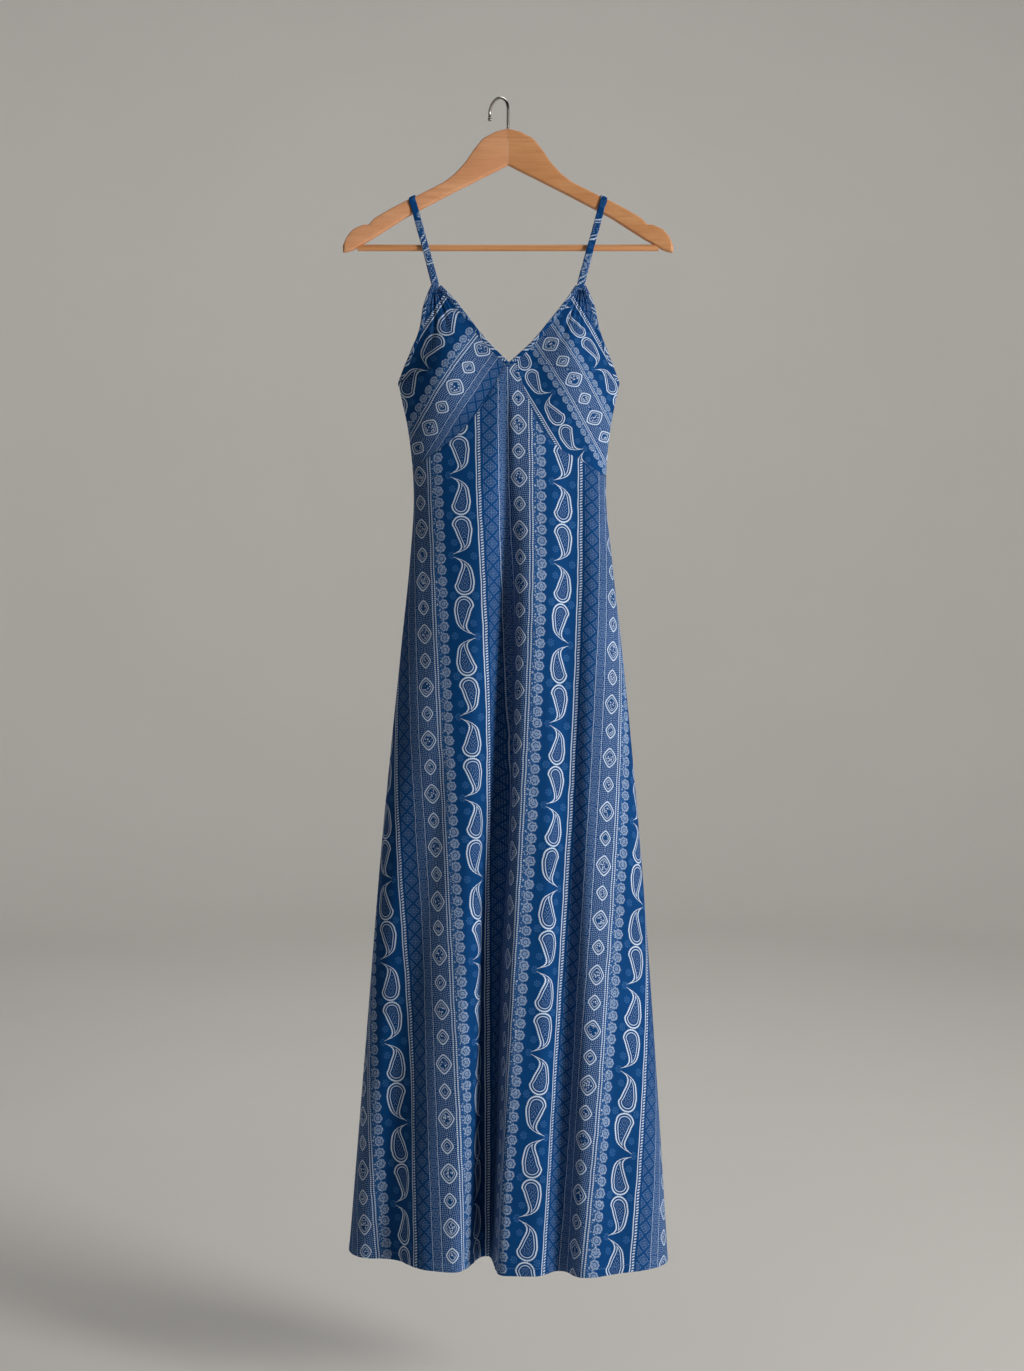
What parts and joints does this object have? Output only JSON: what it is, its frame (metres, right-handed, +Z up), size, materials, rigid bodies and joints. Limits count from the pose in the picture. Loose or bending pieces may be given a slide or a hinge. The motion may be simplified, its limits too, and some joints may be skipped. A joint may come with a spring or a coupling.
{
  "type": "maxi slip dress on a wooden hanger",
  "caption": "Long flared slip dress with narrow straps and a V neck, hanging open from a contoured wooden hanger with a steel hook.",
  "frame": {"origin": "inner top of the hanger's hook, where a rail holds it", "axes": "+Z up, +X to the viewer's right across the hanger, -Y towards the viewer, out of the dress's front"},
  "size_m": [0.445, 0.179, 1.5692],
  "materials": {
    "dress_cloth": "printed plain-weave viscose, soft sheen",
    "dress_trim": "printed viscose bias binding",
    "hanger_wood": "clear-lacquered beech",
    "hanger_steel": "polished plated wire"
  },
  "bodies": {
    "root": {"front_skirt_left": "dress_cloth", "front_skirt_right": "dress_cloth", "back_panel_left": "dress_cloth", "back_panel_right": "dress_cloth", "front_cup_left": "dress_cloth", "front_cup_right": "dress_cloth", "back_binding": "dress_trim", "neck_binding_left": "dress_trim", "neck_binding_right": "dress_trim", "armhole_binding_left": "dress_trim", "armhole_binding_right": "dress_trim", "strap_left": "dress_trim", "strap_right": "dress_trim", "hanger_arm_left": "hanger_wood", "hanger_arm_right": "hanger_wood", "hanger_bar": "hanger_wood", "hanger_hook": "hanger_steel"}
  },
  "joints": []
}
